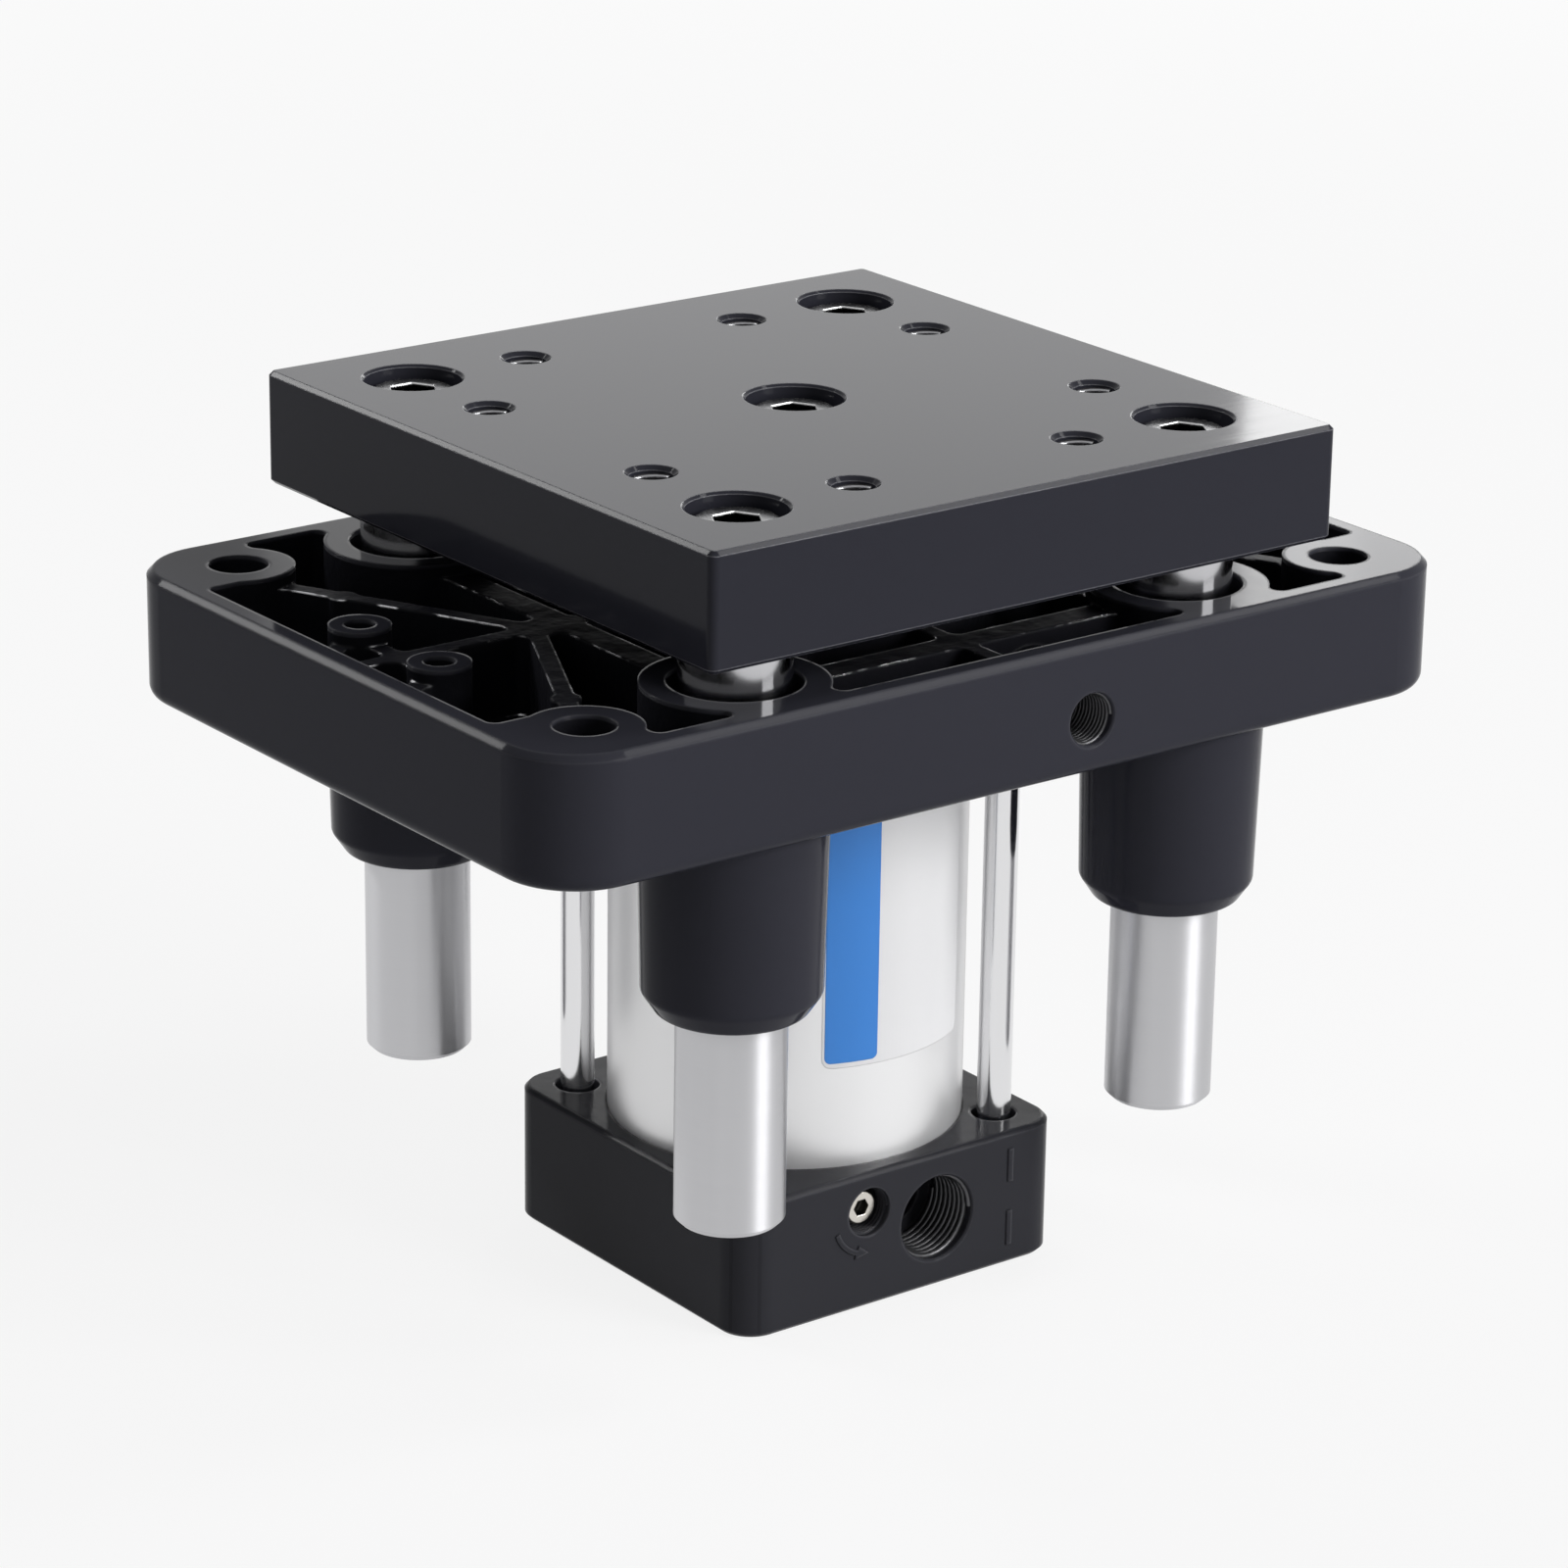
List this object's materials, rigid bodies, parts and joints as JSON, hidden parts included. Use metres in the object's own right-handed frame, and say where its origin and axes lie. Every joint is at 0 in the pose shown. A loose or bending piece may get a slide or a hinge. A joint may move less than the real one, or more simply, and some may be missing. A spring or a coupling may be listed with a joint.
{
  "type": "guided pneumatic cylinder",
  "caption": "Guided air cylinder: square lifting plate on guide posts, cast ribbed guide plate with mounting holes, round tie-rod barrel and rear cap with side port and cushion needle.",
  "frame": {"origin": "on the cylinder's axis, at the underside of the rear cap", "axes": "+Z is the lifting direction, out of the lifting plate; +X runs along the guide plate's long side; the air ports and the cushion needle face -Y"},
  "size_m": [0.204, 0.14, 0.165],
  "materials": {
    "black_cast": "gloss",
    "black_anodised": "gloss",
    "clear_anodised": "satin",
    "bare_aluminium": "satin",
    "ground_chrome": "satin",
    "hard_chrome": "polished",
    "bright_steel": "polished",
    "zinc_steel": "satin",
    "nickel": "satin",
    "bronze": "satin",
    "black_rubber": "matte",
    "magnet_rubber": "matte",
    "wear_plastic": "matte"
  },
  "bodies": {
    "housing": {"guide_plate": "black_cast", "rear_cap": "black_cast", "cylinder_tube": "clear_anodised", "front_tube_seal": "black_rubber", "rear_tube_seal": "black_rubber", "cushion_seal": "black_rubber", "front_buffer": "black_rubber", "piston_rod_bush": "bronze", "piston_rod_seal": "black_rubber", "piston_rod_wiper": "black_rubber", "tie_rod_nuts": "zinc_steel", "tie_rod_1": "bright_steel", "upper_bush_1": "bronze", "lower_bush_1": "bronze", "upper_wiper_1": "black_rubber", "lower_wiper_1": "black_rubber", "tie_rod_2": "bright_steel", "upper_bush_2": "bronze", "lower_bush_2": "bronze", "upper_wiper_2": "black_rubber", "lower_wiper_2": "black_rubber", "tie_rod_3": "bright_steel", "upper_bush_3": "bronze", "lower_bush_3": "bronze", "upper_wiper_3": "black_rubber", "lower_wiper_3": "black_rubber", "tie_rod_4": "bright_steel", "upper_bush_4": "bronze", "lower_bush_4": "bronze", "upper_wiper_4": "black_rubber", "lower_wiper_4": "black_rubber"},
    "carriage": {"lift_plate": "black_anodised", "post_screws": "zinc_steel", "piston_rod_screw": "zinc_steel", "piston_rod": "hard_chrome", "piston": "bare_aluminium", "front_piston_seal": "black_rubber", "rear_piston_seal": "black_rubber", "piston_magnet": "magnet_rubber", "piston_wear_ring": "wear_plastic", "cushion_collar": "bare_aluminium", "piston_nut": "zinc_steel", "guide_post_1": "ground_chrome", "guide_post_2": "ground_chrome", "guide_post_3": "ground_chrome", "guide_post_4": "ground_chrome"},
    "needle": {"cushion_needle": "nickel", "needle_seal": "black_rubber"}
  },
  "joints": [
    {"name": "plate_slide", "type": "slide", "parent": "housing", "child": "carriage", "axis": [0, 0, 1], "range_m": [0, 0.04]},
    {"name": "needle_turn", "type": "hinge", "parent": "housing", "child": "needle", "pos_m": [-0.0084, -0.0375, 0.0191], "axis": [0, -1, 0], "range_deg": [0, 720]}
  ]
}
